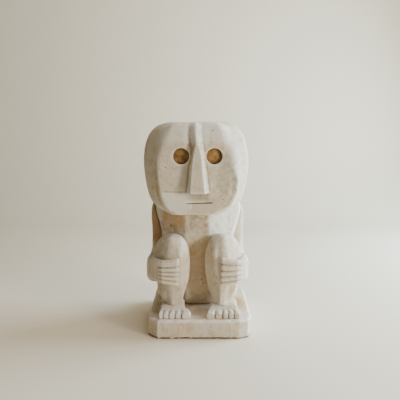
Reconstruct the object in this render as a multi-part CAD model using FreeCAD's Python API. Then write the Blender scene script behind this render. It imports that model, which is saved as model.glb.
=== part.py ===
"""Seated guardian figure carved from one block of pale limestone, with inlaid eyes.

The figure squats on a square plinth with its hands on its shins. It is modelled as the zones that a
carver works one after another. Each zone is a closed solid that meets its neighbours face to face
along the carved creases, and the two eye inlays are separate discs set into drilled sockets.

Millimetres. The origin is the centre of the plinth's underside, +Z is up and the figure faces -Y.
Left and right are the figure's own, so its left side is at +X.
"""

import FreeCAD, Part
import math
import os

Vector = FreeCAD.Vector

# Driving dimensions
OVERALL_HEIGHT = 422.0
PLINTH_WIDTH = 205.0
PLINTH_DEPTH = 210.0
PLINTH_HEIGHT = 38.0
BODY_X = -5.0  # the carving stands a little to its own right of the plinth's centre
HEAD_X = -8.5
HEAD_HEIGHT = 183.0
HEAD_HALF_WIDTH = 108.0
HEAD_DEPTH = 138.0
FACE_Y = -62.0
CHEST_Y = -36.0
BACK_Y = 84.0
SHOULDER_Z = 262.0
SHOULDER_HALF_WIDTH = 98.5
KNEE_TOP_Z = 198.5
KNEE_X = 52.0  # from the body's middle to the middle of a knee
KNEE_HALF_WIDTH = 37.5
ANKLE_X = 49.0
ANKLE_HALF_WIDTH = 22.5
SHIN_FRONT_Y = -84.0
TOE_TIP_Y = -98.0
FOOT_HEIGHT = 19.0
TOE_GROOVE = 3.0
EYE_RADIUS = 15.8
EYE_Z = 354.5
EYE_SPACING = 65.5
INLAY_FRONT_Y = -49.5  # about 8 below the face plate
INLAY_THICKNESS = 5.0
NOSE_BOTTOM_Z = 283.0
NOSE_APEX_Z = 377.0
NOSE_STANDS_OUT = 21.0
NOSE_HALF_WIDTH = 23.0
NOSE_FLAT_HALF_WIDTH = 14.5
MOUTH_Z = 263.0
MOUTH_LENGTH = 56.0
MOUTH_SLIT = 2.4
MOUTH_DEPTH = 4.0
HAND_TOP_Z = 159.5
HAND_BOTTOM_Z = 101.5
LEFT_FINGER_TIP_X = 46.0  # from the body's middle to the fingertips
RIGHT_FINGER_TIP_X = 39.0
KNUCKLE_X = 73.0
FINGER_RELIEF = 8.0
FINGER_GROOVE = 2.4
FINGER_GROOVE_DEPTH = 4.5
PARTS_FOLDER = "parts"

HEAD_Z = OVERALL_HEIGHT - HEAD_HEIGHT


def rounded_wire(points, radius):
    """A closed flat wire through the corners in points, each corner turned by an arc."""
    arcs = []
    count = len(points)
    for i, corner in enumerate(points):
        before = points[i - 1] - corner
        after = points[(i + 1) % count] - corner
        half_turn = (math.pi - before.getAngle(after)) / 2
        room = 0.45 * min(before.Length, after.Length)
        setback = min(radius * math.tan(half_turn), room)
        bow = setback / math.tan(half_turn) * (1 / math.cos(half_turn) - 1)
        start = corner + before.normalize() * setback
        end = corner + after.normalize() * setback
        middle = corner + (before + after).normalize() * bow
        arcs.append((start, middle, end))
    edges = []
    for i, (start, middle, end) in enumerate(arcs):
        edges.append(Part.Arc(start, middle, end).toShape())
        edges.append(Part.LineSegment(end, arcs[(i + 1) % count][0]).toShape())
    return Part.Wire(edges)


def level_section(points, radius, z):
    """A rounded wire at one height, from (x, y) corners."""
    return rounded_wire([Vector(x, y, z) for x, y in points], radius)


def upright_section(points, radius, y):
    """A rounded wire at one depth, from (x, z) corners."""
    return rounded_wire([Vector(x, y, z) for x, z in points], radius)


def loft(sections):
    """A closed solid through flat wires, smooth along its length."""
    return Part.makeLoft(sections, True, False)


def box_corners(low, high, near, far):
    """The four corners of a rectangle."""
    return [(low, near), (high, near), (high, far), (low, far)]


def mirrored(shape):
    """The same shape on the other side of the body's middle plane."""
    return shape.mirror(Vector(BODY_X, 0, 0), Vector(1, 0, 0))


def plinth():
    """Square slab with well-rounded upright corners and worn edges."""
    slab = Part.makeBox(
        PLINTH_WIDTH, PLINTH_DEPTH, PLINTH_HEIGHT, Vector(-PLINTH_WIDTH / 2, -PLINTH_DEPTH / 2, 0)
    )
    upright = [e for e in slab.Edges if abs(e.BoundBox.ZLength - PLINTH_HEIGHT) < 0.1]
    slab = slab.makeFillet(22.0, upright)
    top = [e for e in slab.Edges if e.BoundBox.ZMin > PLINTH_HEIGHT - 0.1]
    return slab.makeFillet(3.0, top)


def torso():
    """Tapered trunk with a flat breast, slanted flanks, wide shoulders and a rounded back."""
    # height, half width, front, flank's front edge, back
    stations = [
        (PLINTH_HEIGHT, 52, -16, 4, 72),
        (54, 64, -27, 0, 84),
        (93, 70, -31, -2, BACK_Y),
        (140, 71, -34, -5, 80),
        (183, 77, CHEST_Y, -8, 74),
        (218, 86, CHEST_Y, -6, 74),
        (240, 92, -34, -2, 72),
        (SHOULDER_Z, 88, -30, 0, 66),
    ]
    breast = 23.0
    sections = []
    for z, half, front, flank, back in stations:
        shape = [
            (BODY_X - breast, front),
            (BODY_X + breast, front),
            (BODY_X + half, flank),
            (BODY_X + half - 4, back - 26),
            (BODY_X + 0.55 * half, back),
            (BODY_X - 0.55 * half, back),
            (BODY_X - half + 4, back - 26),
            (BODY_X - half, flank),
        ]
        sections.append(level_section(shape, 14.0, z))
    return loft(sections)


def head_block():
    """Broad rounded block with a flat face plate, slanted cheeks and a narrow chin."""
    # height share, half width share, face plate share, face's set-back, back's set-back
    stations = [
        (0.00, 0.56, 0.42, 0, 22),
        (0.06, 0.74, 0.54, 0, 14),
        (0.13, 0.86, 0.64, 0, 8),
        (0.25, 0.93, 0.70, 1, 3),
        (0.42, 0.985, 0.72, 2, 0),
        (0.58, 1.00, 0.70, 4, 0),
        (0.70, 0.985, 0.66, 6, 2),
        (0.81, 0.94, 0.58, 8, 6),
        (0.90, 0.86, 0.52, 10, 12),
        (0.955, 0.76, 0.46, 14, 20),
        (0.99, 0.62, 0.38, 22, 32),
        (1.00, 0.52, 0.32, 30, 42),
    ]
    sections = []
    for up, wide, plate, in_front, behind in stations:
        half = HEAD_HALF_WIDTH * wide
        face_half = HEAD_HALF_WIDTH * plate
        front = FACE_Y + in_front
        back = FACE_Y + HEAD_DEPTH - behind
        cheek = front + 0.30 * (back - front)
        nape = back - 0.26 * (back - front)
        shape = [
            (HEAD_X - face_half, front),
            (HEAD_X + face_half, front),
            (HEAD_X + half, cheek),
            (HEAD_X + half, nape),
            (HEAD_X + 0.62 * half, back),
            (HEAD_X - 0.62 * half, back),
            (HEAD_X - half, nape),
            (HEAD_X - half, cheek),
        ]
        sections.append(level_section(shape, 22.0, HEAD_Z + HEAD_HEIGHT * up))
    return loft(sections)


def nose_section(half, flat_half, root, flank, crest, z):
    """Level outline across the nose: its root inside the head, its flanks and its flat crest."""
    middle = BODY_X + 1.0
    left_side = [(flat_half, crest), (half, flank), (half, root)]
    right_side = [(-x, y) for x, y in reversed(left_side)]
    points = [Vector(middle + x, y, z) for x, y in right_side + left_side]
    return Part.makePolygon(points + points[:1])


def nose():
    """Long wedge with a flat front, and the narrow ridge that runs from it up the forehead."""
    ridge_half = 9.0
    crest_half = 1.5
    root = FACE_Y + 25
    tip = FACE_Y - NOSE_STANDS_OUT
    base = nose_section(NOSE_HALF_WIDTH, NOSE_FLAT_HALF_WIDTH, root, FACE_Y, tip, NOSE_BOTTOM_Z)
    apex = nose_section(ridge_half, crest_half, root, FACE_Y + 9, FACE_Y - 2, NOSE_APEX_Z)
    crown = nose_section(ridge_half, crest_half, root + 12, FACE_Y + 22, FACE_Y + 12, OVERALL_HEIGHT - 6)
    wedge = Part.makeLoft([base, apex], True, True)
    ridge = Part.makeLoft([apex, crown], True, True)
    return wedge.fuse(ridge)


def eye_centre(side):
    """Centre of an eye on the face, side being -1 for the right eye and 1 for the left one."""
    return Vector(BODY_X + side * EYE_SPACING / 2 + 0.5, FACE_Y, EYE_Z)


def eye_disc(side, outer_y, thickness):
    """A round disc on an eye's axis, its front at outer_y."""
    centre = eye_centre(side)
    front = Vector(centre.x, outer_y, centre.z)
    return Part.makeCylinder(EYE_RADIUS, thickness, front, Vector(0, 1, 0))


def head(trunk):
    """Head block with its nose, drilled eye sockets and mouth slit, seated on the shoulders."""
    block = head_block().fuse(nose())
    mouth_of_socket = FACE_Y - 10
    depth = INLAY_FRONT_Y + INLAY_THICKNESS - mouth_of_socket
    for side in (-1, 1):
        block = block.cut(eye_disc(side, mouth_of_socket, depth))
    slit_corner = Vector(BODY_X + 1.0 - MOUTH_LENGTH / 2, FACE_Y - 5, MOUTH_Z - MOUTH_SLIT / 2)
    block = block.cut(Part.makeBox(MOUTH_LENGTH, 5 + MOUTH_DEPTH, MOUTH_SLIT, slit_corner))
    return block.cut(trunk)


def left_foot():
    """Short splayed foot, its five toes parted by four grooves."""
    # distance along Y, inner and outer side from the body's middle, height
    stations = [
        (TOE_TIP_Y, 17, 79, 8.0),
        (TOE_TIP_Y + 4, 15.5, 81, 12.0),
        (TOE_TIP_Y + 20, 22, 76, FOOT_HEIGHT),
        (TOE_TIP_Y + 60, 26, 74, FOOT_HEIGHT),
    ]
    sections = []
    for y, inner, outer, height in stations:
        shape = box_corners(BODY_X + inner, BODY_X + outer, PLINTH_HEIGHT, PLINTH_HEIGHT + height)
        sections.append(upright_section(shape, 3.0, y))
    foot = Part.makeLoft(sections, True, True)
    big_toe = 16.5
    small_toe = 12.0
    for i in range(4):
        x = BODY_X + 15.5 + big_toe + small_toe * i
        corner = Vector(x, TOE_TIP_Y - 5, PLINTH_HEIGHT - 1)
        foot = foot.cut(Part.makeBox(TOE_GROOVE, 17.0, FOOT_HEIGHT + 5, corner))
    return foot


def left_leg():
    """Folded leg: an upright shin with a ridge down its front, a round knee and a raised thigh."""
    # height, middle, half width, front, back
    sole = PLINTH_HEIGHT + FOOT_HEIGHT - 0.5
    shin_stations = [
        (sole, ANKLE_X, ANKLE_HALF_WIDTH, -76, -36),
        (76, ANKLE_X + 1, 25.5, -78, -32),
        (96, KNEE_X - 1, 32, -81, -26),
        (126, KNEE_X, 37, SHIN_FRONT_Y, -20),
        (148, KNEE_X, KNEE_HALF_WIDTH, SHIN_FRONT_Y - 2, -16),
        (KNEE_TOP_Z - 33, KNEE_X, 36, SHIN_FRONT_Y - 1, -16),
        (KNEE_TOP_Z - 17, KNEE_X, 30.5, SHIN_FRONT_Y + 4, -20),
        (KNEE_TOP_Z - 6, KNEE_X, 21, -70, -28),
        (KNEE_TOP_Z, KNEE_X, 8, -60, -38),
    ]
    sections = []
    for z, middle, half, front, back in shin_stations:
        depth = back - front
        shape = [
            (BODY_X + middle - 0.18 * half, front),
            (BODY_X + middle + 0.18 * half, front),
            (BODY_X + middle + half, front + 0.42 * depth),
            (BODY_X + middle + 0.86 * half, back),
            (BODY_X + middle - 0.86 * half, back),
            (BODY_X + middle - half, front + 0.42 * depth),
        ]
        sections.append(level_section(shape, 12.0, z))
    shin = loft(sections)
    # distance along Y, bottom, top, half width
    thigh_stations = [
        (-58, 96, 178, 24),
        (-36, 66, 176, 31),
        (0, 44, 164, 33),
        (40, 34, 140, 32),
        (62, 34, 118, 26),
        (72, 44, 98, 16),
    ]
    sections = []
    for y, bottom, top, half in thigh_stations:
        middle = BODY_X + KNEE_X
        sections.append(upright_section(box_corners(middle - half, middle + half, bottom, top), 18.0, y))
    return shin.fuse(loft(sections))


def left_arm():
    """Upper arm hanging straight from the shoulder, a broad elbow and the forearm lying forward."""
    outer = SHOULDER_HALF_WIDTH
    # height, inner side, outer side, front, back
    upper_stations = [
        (92, 70, outer + 8, 8, 52),
        (110, 68, outer + 11, 4, 58),
        (135, 66, outer + 6, 4, 58),
        (158, 64, outer + 1, 2, 58),
        (200, 62, outer, 0, 58),
        (240, 60, outer, 2, 58),
        (252, 60, outer - 3, 6, 54),
        (SHOULDER_Z, 60, outer - 12, 14, 46),
    ]
    sections = []
    for z, inner, out, front, back in upper_stations:
        sections.append(level_section(box_corners(BODY_X + inner, BODY_X + out, front, back), 13.0, z))
    upper = loft(sections)
    # distance along Y, bottom, top, inner side, outer side
    fore_stations = [
        (56, 84, 124, 72, outer + 7),
        (44, 78, 134, 70, outer + 10),
        (10, 80, 142, 68, outer + 11),
        (-20, 90, 148, 70, outer + 8),
        (-44, 98, 154, 72, outer + 2),
    ]
    sections = []
    for y, bottom, top, inner, out in fore_stations:
        sections.append(upright_section(box_corners(BODY_X + inner, BODY_X + out, bottom, top), 14.0, y))
    return upper.fuse(loft(sections))


def left_hand(finger_tip_x):
    """Hand wrapped round the outer side of the shin, with five straight fingers across its front."""
    front = SHIN_FRONT_Y - FINGER_RELIEF
    outer = SHOULDER_HALF_WIDTH + 1
    outline = [
        (BODY_X + finger_tip_x, -60),
        (BODY_X + finger_tip_x, front),
        (BODY_X + KNUCKLE_X - 6, front + 2),
        (BODY_X + KNUCKLE_X + 16, front + 20),
        (BODY_X + outer, -56),
        (BODY_X + outer, -44),
        (BODY_X + KNUCKLE_X, -44),
    ]
    height = HAND_TOP_Z - HAND_BOTTOM_Z
    mitt = Part.Face(level_section(outline, 6.0, HAND_BOTTOM_Z)).extrude(Vector(0, 0, height))
    groove_length = KNUCKLE_X - finger_tip_x + 5
    for share in (0.19, 0.38, 0.57, 0.76):  # the top finger is the thickest
        z = HAND_BOTTOM_Z + share * height - FINGER_GROOVE / 2
        corner = Vector(BODY_X + finger_tip_x - 5, front - 5, z)
        mitt = mitt.cut(Part.makeBox(groove_length, 5 + FINGER_GROOVE_DEPTH, FINGER_GROOVE, corner))
    return mitt


def largest_solid(shape):
    """The main solid of a boolean result, free of seam edges and loose slivers."""
    whole = shape.removeSplitter()
    return max(whole.Solids, key=lambda solid: solid.Volume)


def build():
    """All zones by name, each cut clear of the ones that it meets."""
    base = plinth()
    trunk = torso()
    skull = largest_solid(head(trunk))
    nodes = {"plinth": base, "torso": trunk, "head": skull}
    sides = [("left", Part.Shape.copy, LEFT_FINGER_TIP_X), ("right", mirrored, RIGHT_FINGER_TIP_X)]
    for side, placed, finger_tip_x in sides:
        foot = placed(left_foot())
        leg = largest_solid(placed(left_leg()).cut(trunk).cut(foot).cut(base))
        arm = largest_solid(placed(left_arm()).cut(trunk).cut(leg).cut(skull))
        hand = largest_solid(placed(left_hand(finger_tip_x)).cut(leg).cut(arm))
        nodes[side + "_foot"] = foot
        nodes[side + "_leg"] = leg
        nodes[side + "_arm"] = arm
        nodes[side + "_hand"] = hand
    nodes["right_eye_inlay"] = eye_disc(-1, INLAY_FRONT_Y, INLAY_THICKNESS)
    nodes["left_eye_inlay"] = eye_disc(1, INLAY_FRONT_Y, INLAY_THICKNESS)
    return nodes


def main():
    os.makedirs(PARTS_FOLDER, exist_ok=True)
    for name, shape in build().items():
        print(f"{name:16s} {shape.Volume / 1000:7.1f} cm3, {len(shape.Solids)} solid, valid {shape.isValid()}")
        shape.exportStep(os.path.join(PARTS_FOLDER, name + ".step"))


main()
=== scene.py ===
"""Looks of the squatting limestone figure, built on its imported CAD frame.

Every stone zone is one closed carved piece that stands for its CAD node. A piece starts from a merged
copy of the CAD solid or from a few extruded forms and gets one skin. Then it is worked like stone:
hollowed with a soft brush, cut along its grooves, tooled with a chisel, pitted, and worn at its edges.

Lengths are in millimetres until a mesh is written, and the frame itself is in metres. Left and right
are the figure's own, so its left side is at +X, and it faces -Y. In a stroke's route the fourth number is
the share of the move at that point. side is 1 on the left and -1 on the right.
"""

import math
import random

import bmesh
import bpy
import numpy as np
from mathutils import Matrix, Vector, noise
from mathutils.bvhtree import BVHTree


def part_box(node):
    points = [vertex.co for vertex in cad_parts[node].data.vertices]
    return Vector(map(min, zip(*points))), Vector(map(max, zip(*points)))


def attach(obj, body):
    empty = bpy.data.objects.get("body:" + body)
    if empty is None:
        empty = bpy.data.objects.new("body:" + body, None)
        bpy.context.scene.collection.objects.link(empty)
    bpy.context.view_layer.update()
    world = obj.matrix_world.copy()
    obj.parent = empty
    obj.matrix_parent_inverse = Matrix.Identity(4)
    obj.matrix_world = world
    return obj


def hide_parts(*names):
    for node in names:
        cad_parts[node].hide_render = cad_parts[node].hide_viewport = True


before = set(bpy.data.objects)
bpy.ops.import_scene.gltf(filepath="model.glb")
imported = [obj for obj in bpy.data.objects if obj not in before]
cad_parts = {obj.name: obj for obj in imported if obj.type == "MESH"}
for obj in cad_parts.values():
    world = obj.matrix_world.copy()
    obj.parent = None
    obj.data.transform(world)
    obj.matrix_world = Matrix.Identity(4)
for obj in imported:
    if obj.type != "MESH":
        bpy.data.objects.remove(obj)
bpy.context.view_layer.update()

# Without a seed noise_vector starts from the clock, and the chisel facets differ from run to run
noise.seed_set(1)

MM = 0.001
UP = Vector((0, 0, 1))
ACROSS = Vector((1, 0, 0))

# Places taken from the frame
PLINTH_LOW, PLINTH_HIGH = (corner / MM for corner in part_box("plinth"))
PLINTH_TOP = PLINTH_HIGH.z
PLINTH_FRONT = PLINTH_LOW.y
EYES = {}
for eye_node in ("left_eye_inlay", "right_eye_inlay"):
    eye_low, eye_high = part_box(eye_node)
    EYES[eye_node] = ((eye_low + eye_high) / 2 / MM, (eye_high.x - eye_low.x) / 2 / MM, eye_low.y / MM)

# Driving dimensions of the carving
SIDES = {"left": 1, "right": -1}
SKINS = {  # voxel size, and rounds of softening
    "plinth": (1.5, 3), "torso": (1.6, 6), "head": (1.4, 2), "leg": (1.4, 8),
    "arm": (1.6, 26), "hand": (0.9, 2), "foot": (0.8, 2), "inlay": (0.7, 2),
}
SHIN_FRONT = -86.0
SHIN_CRESTS = {  # height, across, and how far forward
    "left": (
        (60, 43, -74), (104, 42, -80), (130, 32, -84), (168, 28, -83), (182, 30, -77), (197, 36, -58),
    ),
    "right": (
        (60, -45, -74), (104, -42, -80), (130, -39, -84), (168, -39, -83.5), (182, -41, -77), (197, -46, -58),
    ),
}
SHIN_SLOPES = {"left": (1.7, 0.2), "right": (1.1, 0.13)}  # inwards and outwards from the crest
SHIN_SOFTENING = {"left": 10, "right": 30}  # rounds of softening
ANKLES = {"left": (21, 75), "right": (-32, -79)}  # inner and outer side
TOE_EDGES = {"left": (12, 29.5, 44.3, 56, 67.3, 79.5), "right": (-17, -37, -49, -61.5, -73, -82)}
TOE_FRONT = -97.0
TOE_HEIGHT = 13.6
TOE_GROOVE = 2.7
FINGER_HEIGHTS = {  # the edges of the five fingers, from the top down
    "left": (161, 147, 134, 121.6, 110.5, 101),
    "right": (158.5, 141.7, 131.3, 122.4, 112.6, 102),
}
FINGERTIP_X = {"left": 41.5, "right": -42.0}
FINGER_THICK = 13.0
FINGER_GROOVE = 1.3
KNUCKLES = 38.0  # from the fingertips to the end of the fingers
HAND_NARROWING = 0.76  # the hand's height at the knuckles, as a share of its height at the tips
PALM_REACH = {"left": 46.0, "right": 50.0}  # from the fingertips to the middle of the hand's outer edge
HAND_PITS = {  # across and up
    "left": [(70, 144.4), (64, 148.7), (69, 121)],
    "right": [(-57, 151.7), (-64.5, 140), (-74.6, 141.5)],
}
ELBOW_X = {"left": 104, "right": -115}
RIDGE_X = -8.0
NOSE_BOTTOM = 283.0
MOUTH_LEFT, MOUTH_RIGHT, MOUTH_Z = -26.0, 24.5, 262.4
MOUTH_TALL = 3.0
MOUTH_TILT = math.radians(2)
LARGE_PITS = [(-68, 333), (25, 405), (71, 289), (45.5, 270)]  # across and up the face
SMALL_PITS = [(-58, 300), (21, 383), (-11, 295), (48, 266), (66, 294), (-44, 313), (-9, 341)]
INLAY_THICK = 4.6
CAVITY_FULL = 0.50  # a cut that deep is as dark as it gets, partly dirt and partly painted shade
EDGE_FULL = 0.40  # an edge that proud is as chalky as it gets
CREASE_REACH = 3.5  # stone that close to the next piece gets painted shade, as in a shaded crease


# ---------------------------------------------------------------- forms

def node_form(node):
    """A working copy of a CAD node in millimetres, its loose triangles merged."""
    form = bmesh.new()
    form.from_mesh(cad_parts[node].data)
    bmesh.ops.remove_doubles(form, verts=form.verts, dist=0.01 * MM)
    bmesh.ops.scale(form, verts=form.verts, vec=(1 / MM,) * 3)
    return form


def extruded(form, rings):
    """Adds a closed solid to form: a first flat ring, extruded through the others in turn."""
    cap = form.faces.new([form.verts.new(point) for point in rings[0]])
    for step, ring in enumerate(rings[1:]):
        grown = bmesh.ops.extrude_face_region(form, geom=[cap], use_keep_orig=step == 0)
        cap = next(part for part in grown["geom"] if isinstance(part, bmesh.types.BMFace))
        previous = rings[step]
        for corner in cap.verts:
            nearest = min(range(len(previous)), key=lambda i: (corner.co - previous[i]).length)
            corner.co = ring[nearest]
    bmesh.ops.recalc_face_normals(form, faces=form.faces)


def soft_rectangle(centre, across, up, width, height, cut=0.28):
    """Eight corners of a rectangle whose corners are cut off by that share of its smaller side."""
    bite = cut * min(width, height)
    half_w = width / 2
    half_h = height / 2
    shape = [
        (half_w, -half_h + bite), (half_w, half_h - bite),
        (half_w - bite, half_h), (-half_w + bite, half_h),
        (-half_w, half_h - bite), (-half_w, -half_h + bite),
        (-half_w + bite, -half_h), (half_w - bite, -half_h),
    ]
    return [centre + across * x + up * z for x, z in shape]


def bar(form, route, height, thick, tip_share, squeeze=1.0, cut=0.28):
    """A rounded bar along a route, narrowed at its first point like a fingertip and lower at its end."""
    rings = []
    last = len(route) - 1
    for i, point in enumerate(route):
        ahead = route[min(i + 1, last)] - route[max(i - 1, 0)]
        across = Vector((ahead.y, -ahead.x, 0)).normalized()
        share = tip_share if i == 0 else 1.0
        tall = height * (0.3 + 0.7 * share) * (1 + (squeeze - 1) * i / last)
        rings.append(soft_rectangle(point, across, UP, thick * share, tall, cut))
    extruded(form, rings)


# ---------------------------------------------------------------- carving

def settled_mesh(piece, name):
    """Applies the piece's modifiers to its mesh."""
    settled = piece.evaluated_get(bpy.context.evaluated_depsgraph_get())
    mesh = bpy.data.meshes.new_from_object(settled)
    piece.modifiers.clear()
    piece.data = mesh
    mesh.name = name


def skin(form, name, voxel, softening):
    """One closed skin of that voxel size round every solid in form, with its edges softened."""
    mesh = bpy.data.meshes.new(name)
    bmesh.ops.scale(form, verts=form.verts, vec=(MM,) * 3)
    form.to_mesh(mesh)
    form.free()
    piece = bpy.data.objects.new(name, mesh)
    bpy.context.scene.collection.objects.link(piece)
    wrap = piece.modifiers.new("wrap", "REMESH")
    wrap.mode = "VOXEL"
    wrap.voxel_size = voxel * MM
    smooth = piece.modifiers.new("soften", "SMOOTH")
    smooth.factor = 0.5
    smooth.iterations = softening
    settled_mesh(piece, name)
    return piece


def points_of(piece):
    """The piece's points in millimetres."""
    flat = np.empty(len(piece.data.vertices) * 3, np.float32)
    piece.data.vertices.foreach_get("co", flat)
    return flat.reshape(-1, 3).astype(float) / MM


def normals_of(piece):
    """The piece's outward direction at each point."""
    flat = np.empty(len(piece.data.vertices) * 3, np.float32)
    piece.data.vertex_normals.foreach_get("vector", flat)
    return flat.reshape(-1, 3).astype(float)


def set_points(piece, points):
    piece.data.vertices.foreach_set("co", (points * MM).astype(np.float32).ravel())
    piece.data.update()


def falloff(share):
    """1 at the middle of a brush, 0 at its rim and beyond."""
    return np.clip(1 - share**2, 0, 1) ** 2


def ramp(value, start, end):
    """0 before start, 1 after end, with an even turn between them."""
    share = np.clip((value - start) / (end - start), 0, 1)
    return share * share * (3 - 2 * share)


def brush(points, centre, reach, move):
    """Moves the points near centre, by all of move in the middle and nothing at the reach."""
    share = np.linalg.norm((points - centre) / reach, axis=1)
    points += falloff(share)[:, None] * np.array(move, float)


def stroke(points, route, width, move):
    """Cuts or raises a soft line along a route of (x, y, z, share), by share of move at its middle."""
    nearest = np.full(len(points), np.inf)
    strength = np.zeros(len(points))
    for (*start, first), (*end, last) in zip(route, route[1:]):
        run = np.array(end, float) - start
        along = np.clip((points - start) @ run / (run @ run), 0, 1)
        aside = np.linalg.norm(points - start - along[:, None] * run, axis=1)
        closer = aside < nearest
        nearest[closer] = aside[closer]
        strength[closer] = (first + along * (last - first))[closer]
    points += (falloff(nearest / (width / 2)) * strength)[:, None] * np.array(move, float)


def front_pits(points, normals, places, radius, depth):
    """Small holes in the faces that look forward, at (x, z) places."""
    forward = normals[:, 1] < -0.3
    for x, z in places:
        share = np.hypot(points[:, 0] - x, points[:, 2] - z) / radius
        points -= normals * (depth * falloff(share) * forward)[:, None]


def depth_of_pits(points, places, radius):
    """1 in the middle of each pit of front_pits, and 0 outside them."""
    deep = np.zeros(len(points))
    in_front = points[:, 1] < -40
    for x, z in places:
        near = falloff(np.hypot(points[:, 0] - x, points[:, 2] - z) / radius)
        deep = np.maximum(deep, near * in_front)
    return deep


def edges_of(piece):
    """The two end points of each edge, by number."""
    edges = np.empty(len(piece.data.edges) * 2, np.int32)
    piece.data.edges.foreach_get("vertices", edges)
    return edges.reshape(-1, 2)


def smoothed(points, edges, passes):
    """The points after that many rounds of averaging with their neighbours."""
    near, far = edges[:, 0], edges[:, 1]
    count = len(points)
    shares = np.bincount(edges.ravel(), minlength=count)[:, None]
    for _ in range(passes):
        total = np.stack([
            np.bincount(near, points[far, axis], count) + np.bincount(far, points[near, axis], count)
            for axis in range(3)
        ], axis=1)
        points = total / shares
    return points


def soften(points, edges, passes, share):
    """Smooths the points in that many passes, by a share of the way at each point."""
    points += share[:, None] * (smoothed(points, edges, passes) - points)


def strongest(*masks):
    """The largest of the masks at each point."""
    return np.maximum.reduce(masks)


def lumps(points, size, seed):
    """Smooth noise with lumps of that size, about -1 to 1. size may differ along each axis."""
    places = points / np.array(size, float) + np.array((17.3, 5.1, 9.7)) * seed
    return np.array([noise.noise(Vector(place)) for place in places])


def chisel_facets(points, size, seed):
    """Flat cuts of that size, each tilted its own way, about -1 to 1."""
    places = points / size + np.array((3.7, 11.9, 7.3)) * seed
    heights = np.empty(len(points))
    for i, place in enumerate(map(Vector, places)):
        middle = noise.voronoi(place)[1][0]
        heights[i] = (place - middle).dot(noise.noise_vector(middle * 3.1)) * 3
    return heights


def tool(piece, seed, uneven=0.7, cuts=0.35, cut_size=12.0, pits=30):
    """Gives a smooth skin the uneven surface of hand-cut stone, with chisel facets and small pits."""
    points = points_of(piece)
    normals = normals_of(piece)
    height = uneven * lumps(points, 42, seed) + 0.45 * uneven * lumps(points, 16, seed + 1)
    height += 0.16 * lumps(points, 5, seed + 2) + cuts * chisel_facets(points, cut_size, seed)
    draw = random.Random(seed)
    for _ in range(pits):
        centre = points[draw.randrange(len(points))]
        radius = draw.uniform(1.8, 3.4)
        depth = draw.uniform(0.3, 0.9)
        height -= depth * falloff(np.linalg.norm(points - centre, axis=1) / radius)
    set_points(piece, points + normals * height[:, None])


def store(piece, name, values):
    """Keeps one number for each point, for the material to read."""
    attribute = piece.data.attributes.new(name, "FLOAT", "POINT")
    attribute.data.foreach_set("value", values.astype(np.float32))


# ---------------------------------------------------------------- plinth

def bevel(form, edges, offset, segments):
    bmesh.ops.bevel(
        form, geom=edges, offset=offset, offset_type="OFFSET",
        affect="EDGES", segments=segments, profile=0.5, material=-1,
    )


def plinth_block():
    """A squared slab. The corners on its right have one flat cut, and those on its left are rounder."""
    form = bmesh.new()
    bmesh.ops.create_cube(form, size=1)
    bmesh.ops.scale(form, verts=form.verts, vec=PLINTH_HIGH - PLINTH_LOW)
    bmesh.ops.translate(form, verts=form.verts, vec=(PLINTH_HIGH + PLINTH_LOW) / 2)
    for side, offset, segments in ((-1, 19, 1), (1, 25, 2)):
        corners = [
            e for e in form.edges
            if abs(e.verts[0].co.z - e.verts[1].co.z) > 1 and side * e.verts[0].co.x > 90
        ]
        bevel(form, corners, offset, segments)
    for height, offset in ((PLINTH_TOP, 3.4), (0, 1.0)):
        rim = [e for e in form.edges if all(abs(v.co.z - height) < 0.1 for v in e.verts)]
        bevel(form, rim, offset, 1)
    return form


def mark_plinth_stains_and_shade(piece):
    """Ochre on top beside the left foot, ochre stains round the foot of the plinth, a chalky upper rim and
    dark streaks down the sides. Between the feet it gets painted shade in ochre under a pale painted light,
    and along the lower edge a dark line that is partly grime and partly painted contact shadow.
    """
    points = points_of(piece)
    x, y, z = points.T
    facing_up = normals_of(piece)[:, 2]
    on_top = z > PLINTH_TOP - 8
    # Painted shade in ochre between the feet, with a pale painted light laid over it
    between_feet = falloff(np.hypot((x + 4) / 32, (y + 54) / 60)) * on_top
    beside_foot = falloff(np.hypot((x - 84) / 26, (y + 10) / 70)) * on_top
    foot_of_side = ramp(z, 9, 1) * ramp(lumps(points, 12, seed=5), -0.5, 0.4)
    on_rim = ramp(z, 32, 35) * ramp(np.abs(facing_up), 0.15, 0.4) * ramp(np.abs(facing_up), 0.97, 0.85)
    on_rim *= ramp(lumps(points, 14, seed=7), -0.5, 0.1)
    grime_and_contact_shade = 0.35 + 0.65 * ramp(lumps(points, 9, seed=6), -0.5, 0.2)
    # A dark line along the lower edge, partly grime and partly painted contact shadow
    lower_edge = 0.9 * grime_and_contact_shade * ramp(z, 5.6, 2.6)
    streaks = 0.30 * ramp(lumps(points, (4.5, 4.5, 28), seed=8), -0.1, 0.6)
    on_side = 1 - ramp(facing_up, 0.3, 0.7)
    store(piece, "stain_and_shade", strongest(0.65 * between_feet, 0.9 * beside_foot, 0.5 * foot_of_side))
    store(piece, "rubbed_and_lit", strongest(on_rim, between_feet))
    store(piece, "dark", strongest(lower_edge, streaks) * on_side)


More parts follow.
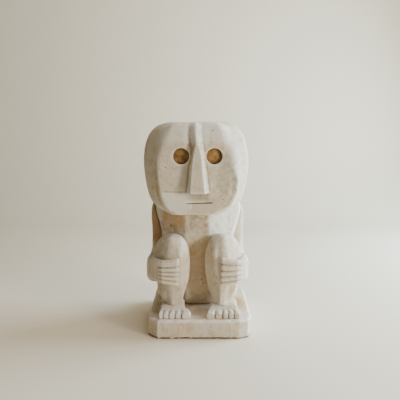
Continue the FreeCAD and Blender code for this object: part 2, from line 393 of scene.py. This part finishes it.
def make_plinth():
    piece = skin(plinth_block(), "plinth_stone", *SKINS["plinth"])
    points = points_of(piece)
    normals = normals_of(piece)
    on_side = 1 - ramp(np.abs(normals[:, 2]), 0.5, 0.9)
    upright_cuts = lumps(points, (6, 6, 30), seed=3) + 0.7 * lumps(points, (3.2, 3.2, 14), seed=4)
    points += normals * (0.3 * on_side * upright_cuts)[:, None]
    lower_chips = ((-28, PLINTH_FRONT, 13), (-41, PLINTH_FRONT, 7), (36, PLINTH_FRONT, 6), (-98, -88, 8))
    for x, y, width in lower_chips:
        brush(points, (x, y, 0), (width, 4.5, 5), (0, 2.6, 1.5))
    upper_chips = ((-88, -98), (62, PLINTH_FRONT), (8, PLINTH_FRONT), (84, PLINTH_FRONT), (-52, PLINTH_FRONT))
    for x, y in upper_chips:
        brush(points, (x, y, PLINTH_TOP), (10, 5, 4.5), (0, 1.6, -1.4))
    set_points(piece, points)
    tool(piece, seed=11, uneven=0.6, cuts=0.18, pits=24)
    points = points_of(piece)
    points[:, 2] = np.maximum(points[:, 2], 0)
    set_points(piece, points)
    mark_plinth_stains_and_shade(piece)
    return piece


# ---------------------------------------------------------------- torso

def paint_torso_shade_and_light(piece):
    """Painted shade in ochre on the belly between the legs, at the belly's foot and under the chin, where the
    chin's shadow falls. The breast gets ochre and a darker middle, partly speckled stain and partly the
    chin's painted shadow, and a pale painted light on its lit left side."""
    points = points_of(piece)
    x, y, z = points.T
    in_front = ramp(y, -5, -15)
    patchy = 0.6 + 0.4 * ramp(lumps(points, 13, seed=25), -0.4, 0.4)
    # Painted shade on the belly between the legs
    belly = 0.62 * ramp(z, 200, 170) * (1 - 0.5 * ramp(z, 110, 60))
    # The chin's painted shadow on the breast's right side
    under_chin = patchy * ramp(x, -16, -42) * ramp(z, 190, 215)
    # The breast's ochre is partly speckled stain and partly the chin's painted shadow
    breast = patchy * ramp(x, 24, 14) * (0.75 + 0.25 * ramp(z, 222, 238)) * ramp(z, 188, 200)
    breast *= ramp(lumps(points, 5, seed=26), -0.6, 0.5)
    # Painted shade where the belly meets the plinth
    foot_of_belly = 0.35 * ramp(z, 55, 50)
    store(piece, "stain_and_shade", in_front * strongest(belly, under_chin, breast, foot_of_belly))
    # A darker middle of the breast, partly stain and partly the chin's painted shadow
    mid_breast = in_front * ramp(np.abs(x + 2), 26, 18) * ramp(z, 196, 210)
    store(piece, "dark", 0.46 * mid_breast * (0.7 + 0.4 * lumps(points, 8, seed=27)))
    # Pale painted light on the breast's left side, which faces the cool side light
    store(piece, "rubbed_and_lit", ramp(x, 16, 28) * ramp(z, 186, 200))


def make_torso():
    """Trunk with a few scratches across the breast."""
    piece = skin(node_form("torso"), "torso_stone", *SKINS["torso"])
    points = points_of(piece)
    x, _, z = points.T
    # The right flank is pared away a little, so that the upper arm shows beside it
    points[:, 0] += 3 * ramp(x, -72, -86) * ramp(z, 176, 196) * ramp(z, 256, 244)
    set_points(piece, points)
    tool(piece, seed=21, uneven=0.8, cuts=0.4, cut_size=11, pits=46)
    points = points_of(piece)
    breast_front = -36
    draw = random.Random(28)
    for _ in range(9):
        start_x, start_z = draw.uniform(-20, 34), draw.uniform(196, 230)
        run, rise = draw.uniform(8, 16), draw.uniform(-9, -3)
        scratch = [(start_x, breast_front, start_z, 0.4), (start_x + run, breast_front, start_z + rise, 1.0)]
        stroke(points, scratch, 3.6, (0, -0.5, 0))
    set_points(piece, points)
    paint_torso_shade_and_light(piece)
    return piece


# ---------------------------------------------------------------- head

def nose_and_ridge(form):
    """The long wedge nose, and the roof-shaped ridge that runs from it over the forehead."""
    wedge = []
    # height, foot and edge of the flat front on each side, front, face plate
    for z, right_foot, right_edge, left_edge, left_foot, front, face in (
        (NOSE_BOTTOM, -26.5, -18.8, 10.6, 19.0, -83.5, -60.5),
        (329.0, -22.0, -16.4, 5.8, 13.8, -75.5, -58.7),
        (356.0, -17.5, -13.5, 3.0, 10.0, -70.0, -56.6),
        (378.0, -14.0, -8.5, -3.5, 7.5, -65.5, -54.5),
    ):
        outline = (
            (right_foot, face), (right_edge, front), (left_edge, front),
            (left_foot, face), (left_foot, face + 14), (right_foot, face + 14),
        )
        wedge.append([Vector((x, y, z)) for x, y in outline])
    extruded(form, wedge)
    ridge = []
    # height, foot on each side, crest, how far forward the crest and the forehead are
    for z, right_foot, crest, left_foot, front, face in (
        (364.0, -15.0, -4.5, 8.0, -67.5, -56.0),
        (380.0, -20.0, -6.5, 7.0, -64.0, -54.3),
        (397.0, -23.0, -8.0, 6.0, -60.5, -52.6),
        (412.0, -23.0, -8.5, 5.5, -56.0, -48.6),
        (419.5, -20.0, -8.5, 4.0, -48.0, -41.0),
    ):
        outline = (
            (right_foot, face), (crest - 1.2, front), (crest + 1.2, front),
            (left_foot, face), (left_foot, face + 12), (right_foot, face + 12),
        )
        ridge.append([Vector((x, y, z)) for x, y in outline])
    extruded(form, ridge)


def carve_face(piece):
    """Sets the flat face off from the round sides of the head, and softens the temples."""
    points = points_of(piece)
    x, y, z = points.T
    beside_plate = [
        (-92, -44, 372, 0.0), (-93, -45, 350, 0.8), (-91, -52, 310, 1.0),
        (-87, -53, 280, 1.0), (-79, -54, 259, 0.9), (-67, -50, 244, 0.5),
    ]
    stroke(points, beside_plate, 25, (3.5, 7.5, 0))
    cheekbone = [
        (64, -55, 342, 0.2), (74, -53, 308, 1.0), (71, -54, 280, 1.0),
        (61, -57, 258, 0.8), (50, -59, 246, 0.3),
    ]
    stroke(points, cheekbone, 22, (2.0, -4.0, 0))
    right_of_ridge = [(-23, -52, 408, 0.6), (-21, -55, 378, 1.0), (-24, -57, 362, 0.3)]
    stroke(points, right_of_ridge, 20, (0, 1.6, 0))
    left_of_ridge = [(16, -52, 408, 0.6), (17, -55, 378, 0.6)]
    stroke(points, left_of_ridge, 18, (0, 1.0, 0))
    # A shallow step under the cheek, on the figure's right only
    step = ramp(z, NOSE_BOTTOM + 1.5, NOSE_BOTTOM - 1.0) * ramp(z, 254, 276)
    step *= ramp(x, -84, -74) * ramp(x, -16, -26) * (y < -50)
    points[:, 1] -= 1.4 * step
    right_temple = (-64, -50, 392)
    brush(points, right_temple, (36, 40, 40), (0.5, 1.7, 0))
    at_temples = ramp(np.abs(x - RIDGE_X), 44, 64) * ramp(z, 346, 372)
    beyond_plate = ramp(x, -84, -91)
    soften(points, edges_of(piece), 80, strongest(at_temples, beyond_plate))
    set_points(piece, points)


def mark_face(piece):
    """Pits and scratches in the face, and a chip where the mouth slit runs out."""
    points = points_of(piece)
    normals = normals_of(piece)
    front_pits(points, normals, LARGE_PITS, 2.4, 1.6)
    front_pits(points, normals, SMALL_PITS, 1.8, 1.0)
    for scratch in (
        [(36, -61, 312, 0.5), (46, -61, 313, 1.0), (57, -61, 304, 0.4)],
        [(26, -61, 290, 0.4), (40, -61, 287, 1.0), (52, -61, 279, 0.3)],
        [(30, -61, 250, 0.3), (48, -60, 262, 1.0)],
    ):
        stroke(points, scratch, 3.2, (0, 0.5, 0))
    mouth_end = [(-33, -62, MOUTH_Z - 2.4, 1.0), (-20, -62, MOUTH_Z - 2.2, 0.6)]
    stroke(points, mouth_end, 5, (0, -0.9, 0))
    set_points(piece, points)


def cut_mouth(piece):
    """Saws the straight mouth slit, which closes towards the figure's right."""
    form = bmesh.new()
    bmesh.ops.create_cube(form, size=1)
    bmesh.ops.scale(form, verts=form.verts, vec=(MOUTH_RIGHT - MOUTH_LEFT, 16, MOUTH_TALL))
    closing = [v for v in form.verts if v.co.x < 0]
    bmesh.ops.scale(form, verts=closing, vec=(1, 1, 0.5))
    bmesh.ops.rotate(form, verts=form.verts, matrix=Matrix.Rotation(-MOUTH_TILT, 3, "Y"))
    bmesh.ops.translate(form, verts=form.verts, vec=((MOUTH_LEFT + MOUTH_RIGHT) / 2, -64, MOUTH_Z))
    bmesh.ops.scale(form, verts=form.verts, vec=(MM,) * 3)
    blade_mesh = bpy.data.meshes.new("mouth_blade")
    form.to_mesh(blade_mesh)
    form.free()
    blade = bpy.data.objects.new("mouth_blade", blade_mesh)
    bpy.context.scene.collection.objects.link(blade)
    cut = piece.modifiers.new("mouth", "BOOLEAN")
    cut.operation = "DIFFERENCE"
    cut.solver = "EXACT"
    cut.object = blade
    settled_mesh(piece, piece.name)
    bpy.data.objects.remove(blade)


def paint_head_shade_and_light(piece):
    """Painted shade in the pits, partly dirt, and in the mouth slit, a darker left cheek in painted shade and
    the nose's painted shadow on the upper lip, and painted light on the forehead and on the nose's right
    flank.
    """
    points = points_of(piece)
    x, y, z = points.T
    # Painted shade in the pits, partly dirt, and painted shade in the mouth slit
    pits = strongest(depth_of_pits(points, LARGE_PITS, 1.9), depth_of_pits(points, SMALL_PITS, 1.3))
    in_mouth = (np.abs(z - MOUTH_Z) < MOUTH_TALL - 0.2) & (y > -60.5) & (y < -50)
    in_mouth &= (x > MOUTH_LEFT - 1) & (x < MOUTH_RIGHT + 1)
    # Painted shade on the left cheek beside the face plate
    left_cheek = ramp(x, 24, 44) * ramp(z, 392, 350) * ramp(z, 262, 290)
    # The nose's painted shadow on the upper lip
    under_nose = 1.2 * ramp(np.abs(x + 4), 30, 18) * ramp(z, 264, 271)
    under_nose *= ramp(z, NOSE_BOTTOM + 2, NOSE_BOTTOM - 1)
    dusky = strongest(left_cheek, under_nose) * (y < -48)
    dusky *= 0.36 + 0.1 * lumps(points, (12, 12, 7), seed=35)
    store(piece, "dark", strongest(pits, in_mouth, dusky))
    # Painted light on the forehead, as if lit from above, and on the nose's right flank as bounced light
    forehead = ramp(z, 366, 392) * (y < -30) * ramp(np.abs(x - RIDGE_X), 80, 60)
    nose_flank = ramp(y, -60, -63) * (x < -15) * ramp(z, 350, 335)
    store(piece, "rubbed_and_lit", strongest(forehead, nose_flank))


def make_head():
    form = node_form("head")
    nose_and_ridge(form)
    piece = skin(form, "head_stone", *SKINS["head"])
    carve_face(piece)
    tool(piece, seed=31, uneven=0.75, cuts=0.2, cut_size=16, pits=22)
    mark_face(piece)
    cut_mouth(piece)
    paint_head_shade_and_light(piece)
    return piece


# ---------------------------------------------------------------- limbs

def square_off(points, normals, crest, inner_slope, outer_slope):
    """Brings the front of a leg forward to two slopes that meet along a crest line."""
    z = points[:, 2]
    heights, across, fronts = zip(*crest)
    crest_x = np.interp(z, heights, across)
    outward = (points[:, 0] - crest_x) * np.sign(crest_x)
    front = np.interp(z, heights, fronts) + np.where(outward > 0, outer_slope, -inner_slope) * outward
    limits = ramp(outward, 44, 30) * ramp(outward, -20, -12) * ramp(-normals[:, 1], 0.15, 0.5)
    limits *= ramp(z, heights[0], heights[0] + 20) * ramp(z, heights[-1], heights[-1] - 8)
    gap = np.maximum(points[:, 1] - front, 0)
    points[:, 1] -= limits * gap * ramp(gap, 24, 10)


def make_leg(hand_side):
    """Folded leg with a round knee and a blunt crest down its shin, each leg's its own."""
    piece = skin(node_form(hand_side + "_leg"), hand_side + "_leg_stone", *SKINS["leg"])
    points = points_of(piece)
    z = points[:, 2]
    square_off(points, normals_of(piece), SHIN_CRESTS[hand_side], *SHIN_SLOPES[hand_side])
    if hand_side == "left":
        lower_shin = [(41, -83, 104, 0.6), (41, -79, 80, 1.0), (40, -76, 62, 0.8)]
        stroke(points, lower_shin, 13, (-0.8, -2.2, 0))
    else:
        lower_shin = [(-53, -80, 98, 0.5), (-52, -77, 62, 1.0)]
        stroke(points, lower_shin, 14, (0, -1.8, 0))
        points[:, 0] -= 2.0 * (1 - ramp(z, 60, 100))
    soften(points, edges_of(piece), SHIN_SOFTENING[hand_side], ramp(z, 64, 80))
    on_knee = ramp(z, 158, 180)
    soften(points, edges_of(piece), 20, on_knee)
    set_points(piece, points)
    tool(piece, seed=41 + SIDES[hand_side], uneven=0.8, cuts=0.25, cut_size=13, pits=14)
    points = points_of(piece)
    x, y, z = points.T
    if hand_side == "left":
        # Painted shade on the inner flank, which is turned away from the key light
        inner_flank = ramp(x, 30, 22) * (z < 190)
        store(piece, "stain_and_shade", 0.32 * inner_flank)
    else:
        outer_front = ramp(x, -32, -40) * ramp(y, -40, -60)
        store(piece, "dark", outer_front * (0.36 + 0.1 * lumps(points, 11, seed=45)))
    return piece


def make_arm(hand_side):
    """Upper arm set back from the breast, a rounded elbow and the forearm."""
    side = SIDES[hand_side]
    piece = skin(node_form(hand_side + "_arm"), hand_side + "_arm_stone", *SKINS["arm"])
    points = points_of(piece)
    _, y, z = points.T
    points[:, 1] += 9 * ramp(y, 22, 8) * ramp(z, 150, 185)
    brush(points, (ELBOW_X[hand_side], -12, 152), (24, 60, 24), (-side * 5, 0, -7))
    set_points(piece, points)
    tool(piece, seed=51 + side, uneven=0.8, cuts=0.3, pits=16)
    points = points_of(piece)
    _, y, z = points.T
    # Painted shade on the front of the upper arm, which the breast shades; stronger and darker on the right
    # arm
    upper_front = ramp(y + 5 * lumps(points, 17, seed=56), 42, 23) * ramp(z, 140, 185)
    if hand_side == "left":
        store(piece, "stain_and_shade", 0.35 * upper_front)
    else:
        store(piece, "stain_and_shade", upper_front)
        store(piece, "dark", 0.3 * upper_front * (0.7 + 0.5 * lumps(points, (5, 5, 40), seed=55)))
    return piece


def add_fingers(form, hand_side):
    """Five fingers laid side by side across the shin, each starting at its own place."""
    side = SIDES[hand_side]
    heights = FINGER_HEIGHTS[hand_side]
    middle = (heights[0] + heights[-1]) / 2
    draw = random.Random(61 + side)
    for top, bottom in zip(heights, heights[1:]):
        start = draw.uniform(-1.2, 1.2)
        proud = draw.uniform(-0.5, 0.5)
        z = (top + bottom) / 2
        route = []
        for out, behind in ((0, -1.0), (3.5, -2.0), (18, -2.0), (30, -0.5), (KNUCKLES, 5.0)):
            fan = 1 + (HAND_NARROWING - 1) * out / KNUCKLES
            x = FINGERTIP_X[hand_side] + side * (out + start * (out == 0))
            route.append(Vector((x, SHIN_FRONT + behind + proud, middle + (z - middle) * fan)))
        height = top - bottom - FINGER_GROOVE
        bar(form, route, height, FINGER_THICK, tip_share=0.8, squeeze=HAND_NARROWING + 0.08, cut=0.3)


def add_palm(form, hand_side):
    """The back of the hand, under the fingers and round the leg to the wrist."""
    side = SIDES[hand_side]
    heights = FINGER_HEIGHTS[hand_side]
    middle = (heights[0] + heights[-1]) / 2
    reach = PALM_REACH[hand_side]
    # from the fingertips outwards, back from the shin's front, height, thickness
    wrap = (
        (3, 1, 51, 11), (18, 0.5, 50, 11), (31, 3, 46, 13), (reach - 7, 13, 44, 17),
        (reach - 2, 28, 44, 20), (reach, 46, 44, 22), (reach, 60, 44, 22),
    )
    palm = []
    for i, (out, behind, height, thick) in enumerate(wrap):
        before = wrap[max(i - 1, 0)]
        after = wrap[min(i + 1, len(wrap) - 1)]
        across = Vector((side * (after[1] - before[1]), before[0] - after[0], 0)).normalized()
        centre = Vector((FINGERTIP_X[hand_side] + side * out, SHIN_FRONT + behind, middle))
        palm.append(soft_rectangle(centre, across, UP, thick, height, cut=0.3))
    extruded(form, palm)


def make_hand(hand_side):
    form = bmesh.new()
    add_fingers(form, hand_side)
    add_palm(form, hand_side)
    piece = skin(form, hand_side + "_hand_stone", *SKINS["hand"])
    tool(piece, seed=61 + SIDES[hand_side], uneven=0.45, cuts=0.2, cut_size=8, pits=12)
    points = points_of(piece)
    front_pits(points, normals_of(piece), HAND_PITS[hand_side], 1.9, 1.2)
    set_points(piece, points)
    # The pits are darkened, partly dirt and partly painted shade
    store(piece, "dark", depth_of_pits(points, HAND_PITS[hand_side], 1.6))
    return piece


def add_instep(form, hand_side, sole):
    """The wedge of the foot, as wide as the toes in front and as the ankle behind."""
    side = SIDES[hand_side]
    edges = TOE_EDGES[hand_side]
    toes = (edges[0] + side, edges[-1] - side)
    instep = []
    # how far forward, height, and how much of the way from the toes' width to the ankle's
    for y, top, share in ((-93, 10.6, 0), (-88, 13.4, 0.12), (-82, 17, 0.5), (-74, 20.5, 0.9), (-40, 22, 1)):
        ends = [toe + (ankle - toe) * share for toe, ankle in zip(toes, ANKLES[hand_side])]
        centre = Vector((sum(ends) / 2, y, sole + top / 2))
        instep.append(soft_rectangle(centre, ACROSS, UP, abs(ends[1] - ends[0]), top, cut=0.2))
    extruded(form, instep)


def add_toes(form, hand_side, sole):
    """Five blunt, square toes. The big toe is a little longer."""
    edges = TOE_EDGES[hand_side]
    middle = (edges[0] + edges[-1]) / 2
    for near, far in zip(edges, edges[1:]):
        x = (near + far) / 2
        width = abs(far - near) - TOE_GROOVE
        extra = 1.5 if width > 13 else 0.0
        front = TOE_FRONT - extra
        root_x = middle + (x - middle) * 0.86
        route = [
            Vector((x, front, sole + 5.8)),
            Vector((x, front + 2.5, sole + 6.8)),
            Vector((x, -90, sole + 7.4)),
            Vector((root_x, -83, sole + 9.2)),
        ]
        bar(form, route, TOE_HEIGHT, width, tip_share=0.9, cut=0.22)


def make_foot(hand_side):
    sole = PLINTH_TOP - 0.6
    form = bmesh.new()
    add_instep(form, hand_side, sole)
    add_toes(form, hand_side, sole)
    piece = skin(form, hand_side + "_foot_stone", *SKINS["foot"])
    points = points_of(piece)
    points[:, 2] = np.maximum(points[:, 2], sole)
    set_points(piece, points)
    tool(piece, seed=71 + SIDES[hand_side], uneven=0.35, cuts=0.15, cut_size=9, pits=6)
    if hand_side == "right":
        store(piece, "rubbed_and_lit", np.full(len(points), 0.9))
    return piece


# ---------------------------------------------------------------- eyes

def make_inlay(node):
    """A thin disc with a rounded rim and a slightly crowned face, set in its socket."""
    centre, radius, front = EYES[node]
    form = bmesh.new()
    bmesh.ops.create_circle(form, cap_ends=True, segments=48, radius=radius - 0.3)
    bmesh.ops.rotate(form, verts=form.verts, matrix=Matrix.Rotation(math.pi / 2, 3, "X"))
    face = form.faces[:][0]
    rim = form.edges[:]
    walls = bmesh.ops.extrude_edge_only(form, edges=rim)
    back = [part for part in walls["geom"] if isinstance(part, bmesh.types.BMVert)]
    bmesh.ops.translate(form, verts=back, vec=(0, INLAY_THICK, 0))
    bmesh.ops.holes_fill(form, edges=[e for e in form.edges if e.is_boundary], sides=0)
    for inset, rise in ((1.0, 0.6), (3.0, 0.8), (4.0, 0.6), (4.0, 0.3)):
        bmesh.ops.inset_region(form, faces=[face], thickness=inset, depth=rise)
    bmesh.ops.recalc_face_normals(form, faces=form.faces)
    bmesh.ops.translate(form, verts=form.verts, vec=(centre.x, front + 0.4, centre.z))
    piece = skin(form, node + "_disc", *SKINS["inlay"])
    tool(piece, seed=81 + int(centre.x), uneven=0.3, cuts=0.1, cut_size=7, pits=8)
    return piece


# ---------------------------------------------------------------- wear, and painted shade in cuts and creases

def nearness(points, others):
    """1 where a point touches one of the other pieces, and 0 from CREASE_REACH away."""
    crease = np.zeros(len(points))
    for spots, tree in others:
        low = spots.min(0) - CREASE_REACH
        high = spots.max(0) + CREASE_REACH
        for i in np.nonzero(np.all((points > low) & (points < high), axis=1))[0]:
            distance = tree.find_nearest(Vector(points[i]), CREASE_REACH)[3]
            if distance is not None:
                crease[i] = max(crease[i], 1 - distance / CREASE_REACH)
    return crease


def mark_wear_dirt_and_shade(pieces):
    """Stores how deep each point lies in a cut, for dirt and painted shade there, and how worn each edge is.
    Creases between two pieces count as cuts, with painted shade only.
    """
    surfaces = {}
    for piece in pieces:
        points = points_of(piece)
        polygons = [tuple(face.vertices) for face in piece.data.polygons]
        surfaces[piece.name] = (points, BVHTree.FromPolygons([Vector(p) for p in points], polygons))
    for piece in pieces:
        points = surfaces[piece.name][0]
        crease = nearness(points, [surface for name, surface in surfaces.items() if name != piece.name])
        relief = np.sum((smoothed(points, edges_of(piece), 9) - points) * normals_of(piece), axis=1)
        # Cuts are darkened, partly dirt and partly painted shade; creases between pieces get painted shade
        store(piece, "cut_dirt_and_shade", np.clip(strongest(relief / CAVITY_FULL, 0.6 * crease), 0, 1))
        store(piece, "worn", np.clip(-relief / EDGE_FULL, 0, 1) * (1 - crease))


# ---------------------------------------------------------------- materials

def tone(colour):
    """A linear colour from an sRGB hex value."""
    parts = [int(colour[i:i + 2], 16) / 255 for i in (1, 3, 5)]
    linear = [p / 12.92 if p <= 0.04045 else ((p + 0.055) / 1.055) ** 2.4 for p in parts]
    return (*linear, 1.0)


def add(tree, kind, settings, inputs):
    """Adds a node. Its inputs, by name or number, are given a value or wired to another node's output."""
    made = tree.nodes.new(kind)
    for name, value in settings.items():
        setattr(made, name, value)
    for socket, value in inputs.items():
        if isinstance(value, bpy.types.NodeSocket):
            tree.links.new(value, made.inputs[socket])
        else:
            made.inputs[socket].default_value = value
    return made


def new_material(name):
    material = bpy.data.materials.new(name)
    material.use_nodes = True
    tree = material.node_tree
    shader = tree.nodes["Principled BSDF"]
    return material, tree, shader


def size_of(millimetres):
    """A texture scale that makes its features that many millimetres across."""
    return 1000.0 / millimetres


def lay_colours(tree, base, layers):
    """Lays sRGB colours over a base one. Each layer has a pattern, the values of the pattern where the
    colour begins and where it is at its full strength, that strength, and the colour."""
    body = tone(base)
    for pattern, begins, full, strength, colour in layers:
        amount = add(tree, "ShaderNodeMapRange", {"interpolation_type": "SMOOTHSTEP"}, {
            "Value": pattern, "From Min": begins, "From Max": full, "To Min": 0.0, "To Max": strength,
        })
        laid = add(tree, "ShaderNodeMix", {"data_type": "RGBA"}, {
            0: amount.outputs["Result"], 6: body, 7: tone(colour),
        })
        body = laid.outputs[2]
    return body


def hand_carved_limestone():
    """Dry, soft limestone, chiselled and hand-rubbed. It gives the eye a chalky matt surface that is cloudy
    from warm cream to cool white, paler on worn edges and ochre where it is stained. Its attributes also
    paint light and shade on it: darker cuts and creases, partly dirt and partly painted shade, ochre and dark
    painted shade in shaded places, and pale painted light on lit ones."""
    material, tree, shader = new_material("hand_carved_limestone")
    where = add(tree, "ShaderNodeTexCoord", {}, {}).outputs["Object"]
    patterns = {}
    # The real grain is 0.3 to 1 mm and its pores about 1 mm: both are drawn coarser, so that they show
    for name, millimetres, detail in (("clouds", 60, 4), ("mottle", 13, 5), ("grain", 2.4, 3)):
        patterns[name] = add(tree, "ShaderNodeTexNoise", {}, {
            "Vector": where, "Scale": size_of(millimetres), "Detail": detail, "Roughness": 0.62,
        }).outputs["Fac"]
    patterns["pores"] = add(tree, "ShaderNodeTexVoronoi", {}, {
        "Vector": where, "Scale": size_of(7), "Randomness": 1.0,
    }).outputs["Distance"]
    for name in ("worn", "rubbed_and_lit", "stain_and_shade", "cut_dirt_and_shade", "dark"):
        patterns[name] = add(tree, "ShaderNodeAttribute", {"attribute_name": name}, {}).outputs["Fac"]
    body = lay_colours(tree, "#d7c9b0", (
        (patterns["clouds"], 0.36, 0.64, 1.0, "#d6cfc0"),
        (patterns["mottle"], 0.48, 0.70, 0.55, "#b3a184"),
        (patterns["grain"], 0.52, 0.76, 0.38, "#a89575"),
        (patterns["pores"], 0.13, 0.04, 0.40, "#8d7757"),
        (patterns["worn"], 0.15, 0.9, 0.55, "#ece6da"),
        # pale wear on the plinth's rim, and pale painted light on lit places
        (patterns["rubbed_and_lit"], 0.1, 0.9, 0.65, "#ecebe4"),
        # ochre stains, and ochre painted shade in shaded places
        (patterns["stain_and_shade"], 0.05, 1.0, 0.75, "#b58e5c"),
        # dirt and painted shade in cuts and creases
        (patterns["cut_dirt_and_shade"], 0.2, 1.0, 0.55, "#8a6c45"),
        # dark streaks, and painted shade and shadow in pits, the mouth and shaded places
        (patterns["dark"], 0.1, 0.9, 0.85, "#4d3b28"),
    ))
    tree.links.new(body, shader.inputs["Base Color"])
    relief = add(tree, "ShaderNodeMath", {"operation": "MULTIPLY_ADD"}, {
        0: patterns["mottle"], 1: 2.0, 2: patterns["grain"],
    })
    bump = add(tree, "ShaderNodeBump", {}, {
        "Height": relief.outputs[0], "Strength": 0.7, "Distance": 1.0 * MM,
    })
    tree.links.new(bump.outputs["Normal"], shader.inputs["Normal"])
    shader.inputs["Roughness"].default_value = 0.9
    shader.inputs["IOR"].default_value = 1.49
    shader.inputs["Specular IOR Level"].default_value = 0.35
    return material


def honed_brown_stone():
    """Honed brown-gold stone. It gives the eye a dull, cloudy disc with darker specks and a faint sheen."""
    material, tree, shader = new_material("honed_brown_stone")
    where = add(tree, "ShaderNodeTexCoord", {}, {}).outputs["Object"]
    clouds, specks = (
        add(tree, "ShaderNodeTexNoise", {}, {
            "Vector": where, "Scale": size_of(millimetres), "Detail": 4, "Roughness": 0.6,
        }).outputs["Fac"]
        for millimetres in (9, 3)
    )
    worn = add(tree, "ShaderNodeAttribute", {"attribute_name": "worn"}, {}).outputs["Fac"]
    body = lay_colours(tree, "#75552b", (
        (clouds, 0.35, 0.65, 1.0, "#a5804a"),
        (specks, 0.50, 0.72, 0.6, "#6b4a26"),
        (worn, 0.3, 1.0, 0.4, "#cda970"),
    ))
    tree.links.new(body, shader.inputs["Base Color"])
    bump = add(tree, "ShaderNodeBump", {}, {"Height": specks, "Strength": 0.4, "Distance": 0.4 * MM})
    tree.links.new(bump.outputs["Normal"], shader.inputs["Normal"])
    shader.inputs["Roughness"].default_value = 0.55
    shader.inputs["IOR"].default_value = 1.54
    return material


def matt_card(name, colour):
    """Plain matt painted card, for the floor and the backdrop."""
    material, _, shader = new_material(name)
    shader.inputs["Base Color"].default_value = tone(colour)
    shader.inputs["Roughness"].default_value = 0.95
    shader.inputs["Specular IOR Level"].default_value = 0.2
    return material


# ---------------------------------------------------------------- stage

def make_camera():
    """A camera a little above the middle of the face, looking slightly down."""
    distance = 0.950
    height = 0.398
    looks_down = 8.25
    camera = bpy.data.objects.new("camera", bpy.data.cameras.new("camera"))
    bpy.context.scene.collection.objects.link(camera)
    camera.data.lens = 41.0
    camera.data.sensor_width = 36.0
    camera.location = (0.0, -distance, height)
    camera.rotation_euler = (math.radians(90 - looks_down), 0, 0)
    bpy.context.scene.camera = camera


def make_sweep():
    """A pale floor that curves up into a backdrop well behind the figure."""
    half_width = 3.0
    wall_y = 1.35
    wall_height = 2.0
    bend = 0.35
    form = bmesh.new()
    bmesh.ops.create_grid(form, x_segments=1, y_segments=1, size=half_width)
    back = [v for v in form.verts if v.co.y > 0]
    for vert in back:
        vert.co.y = wall_y - bend
    edge = [e for e in form.edges if all(v in back for v in e.verts)]
    bmesh.ops.spin(
        form, geom=edge, cent=(0, wall_y - bend, bend), axis=(1, 0, 0), angle=math.pi / 2, steps=12
    )
    top = max(v.co.z for v in form.verts)
    upper = [e for e in form.edges if all(v.co.z > top - 1e-4 for v in e.verts)]
    wall = bmesh.ops.extrude_edge_only(form, edges=upper)
    lifted = [part for part in wall["geom"] if isinstance(part, bmesh.types.BMVert)]
    bmesh.ops.translate(form, verts=lifted, vec=(0, 0, wall_height))
    bmesh.ops.recalc_face_normals(form, faces=form.faces)
    mesh = bpy.data.meshes.new("sweep")
    form.to_mesh(mesh)
    form.free()
    sweep = bpy.data.objects.new("sweep", mesh)
    sweep.data.materials.append(matt_card("pale_card", "#ebe1cb"))
    sweep.data.shade_smooth()
    bpy.context.scene.collection.objects.link(sweep)


def make_light(name, place, aim, width, watts, colour):
    """A square soft light, in metres, pointed at a place."""
    lamp = bpy.data.lights.new(name, "AREA")
    lamp.energy = watts
    lamp.size = width
    lamp.color = colour
    light = bpy.data.objects.new(name, lamp)
    light.location = place
    light.rotation_euler = (Vector(aim) - light.location).to_track_quat("-Z", "Y").to_euler()
    light.visible_camera = False
    bpy.context.scene.collection.objects.link(light)


def light_stage():
    """Dim warm fill all round, a small warm key from the front left of the figure, a broad cool light on
    its left side and a soft light from above."""
    fill = (1.0, 0.73, 0.45)
    key = (1.0, 0.92, 0.79)
    cool = (0.66, 0.84, 1.0)
    overhead = (1.0, 0.94, 0.85)
    world = bpy.data.worlds.new("fill")
    bpy.context.scene.world = world
    world.use_nodes = True
    background = world.node_tree.nodes["Background"]
    background.inputs["Color"].default_value = (*fill, 1)
    background.inputs["Strength"].default_value = 0.126
    make_light("key", (1.46, -1.14, 0.48), (0, 0, 0.27), 0.34, 25, key)
    make_light("side", (1.40, 0.34, 0.60), (0, 0, 0.22), 0.9, 67, cool)
    make_light("top", (0.5, -0.1, 1.9), (0, 0, 0), 1.5, 22, overhead)


# ---------------------------------------------------------------- the scene

make_camera()
make_sweep()
light_stage()
stones = {"plinth": make_plinth(), "torso": make_torso(), "head": make_head()}
for hand_side in SIDES:
    for zone, make in (("leg", make_leg), ("arm", make_arm), ("hand", make_hand), ("foot", make_foot)):
        stones[hand_side + "_" + zone] = make(hand_side)
inlays = {node: make_inlay(node) for node in EYES}
mark_wear_dirt_and_shade(list(stones.values()) + list(inlays.values()))
limestone = hand_carved_limestone()
brown_stone = honed_brown_stone()
for made, material, slot in ((stones, limestone, "limestone"), (inlays, brown_stone, "eye_inlay")):
    for node, piece in made.items():
        piece.data.materials.clear()
        piece.data.materials.append(material)
        piece.data.shade_smooth()
        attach(piece, "root")
        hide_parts(node)
